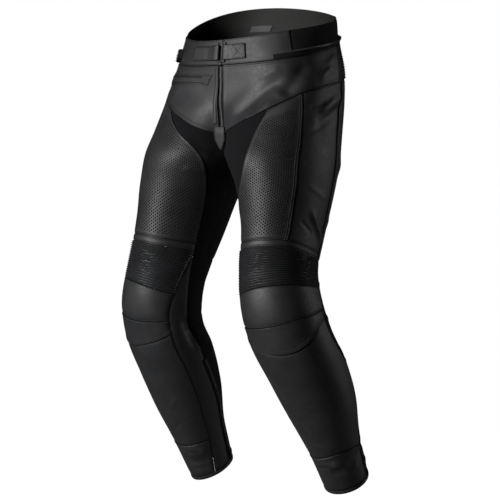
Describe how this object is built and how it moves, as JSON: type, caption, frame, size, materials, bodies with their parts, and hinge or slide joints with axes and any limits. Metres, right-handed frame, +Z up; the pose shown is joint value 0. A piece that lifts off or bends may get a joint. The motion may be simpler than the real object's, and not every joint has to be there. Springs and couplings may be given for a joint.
{
  "type": "leather motorcycle trousers",
  "caption": "Black leather motorcycle trousers, filled out as worn, with ribbed knee and back panels, stretch inserts, a waist strap and zipped hems",
  "frame": {"origin": "the middle of the waist opening, where the wearer's waist holds the trousers", "axes": "+Z up along the body, -Y is the front, +X is the wearer's left; metres"},
  "size_m": [0.5406, 0.3372, 1.0297],
  "materials": {
    "leather": "matt, fine grain",
    "ribbed_leather": "matt, stitched ribs over elastic",
    "stretch_cloth": "matt woven stretch",
    "mesh_elastic": "matt ribbed elastic",
    "lining": "smooth, slightly shiny",
    "zip_tape": "matt woven",
    "dark_metal": "satin",
    "buckle_plastic": "satin",
    "label": "satin, bare"
  },
  "bodies": {
    "trousers": {"above_knee_strip_left": "leather", "above_knee_strip_right": "leather", "anchor_tab": "leather", "ankle_cuff_left": "leather", "ankle_cuff_right": "leather", "back_yoke_accordion": "ribbed_leather", "calf_stretch_left": "stretch_cloth", "calf_stretch_right": "stretch_cloth", "calf_zip_lug_left": "dark_metal", "calf_zip_lug_right": "dark_metal", "calf_zip_slider_left": "dark_metal", "calf_zip_slider_right": "dark_metal", "calf_zip_tape_left": "zip_tape", "calf_zip_tape_right": "zip_tape", "connection_zip_tape": "zip_tape", "fly_end_tab": "leather", "fly_placket": "leather", "fly_zip": "zip_tape", "hem_binding_left": "leather", "hem_binding_right": "leather", "hip_front_left": "leather", "hip_front_right": "leather", "inner_calf_left": "leather", "inner_calf_right": "leather", "inner_label": "label", "inner_thigh_back_left": "stretch_cloth", "inner_thigh_back_right": "stretch_cloth", "inner_thigh_front_left": "stretch_cloth", "inner_thigh_front_right": "stretch_cloth", "knee_accordion_left": "ribbed_leather", "knee_accordion_right": "ribbed_leather", "knee_crescent_left": "leather", "knee_crescent_right": "leather", "knee_cup_left": "leather", "knee_cup_right": "leather", "pocket_welt": "leather", "seat_lining": "lining", "seat_thigh_left": "leather", "seat_thigh_right": "leather", "shin_left": "leather", "shin_right": "leather", "thigh_front_left": "leather", "thigh_front_right": "leather", "thigh_side_left": "leather", "thigh_side_right": "leather", "waist_buckle": "buckle_plastic", "waist_facing": "lining", "waist_strap": "leather", "waistband_back": "leather", "waistband_front_left": "leather", "waistband_front_right": "leather", "waistband_stretch_left": "mesh_elastic", "waistband_stretch_right": "mesh_elastic", "zip_tape_end": "zip_tape"},
    "zip_pull_left": {"calf_zip_pull_left": "dark_metal"},
    "zip_pull_right": {"calf_zip_pull_right": "dark_metal"}
  },
  "joints": [
    {"name": "left_zip_pull_swing", "type": "hinge", "parent": "trousers", "child": "zip_pull_left", "pos_m": [0.14034, 0.06048, -0.92246], "axis": [0.2933, 0.8629, 0.4115], "range_deg": [0, 120]},
    {"name": "right_zip_pull_swing", "type": "hinge", "parent": "trousers", "child": "zip_pull_right", "pos_m": [-0.14034, 0.06048, -0.92246], "axis": [0.2933, -0.8629, -0.4115], "range_deg": [0, 120]}
  ]
}
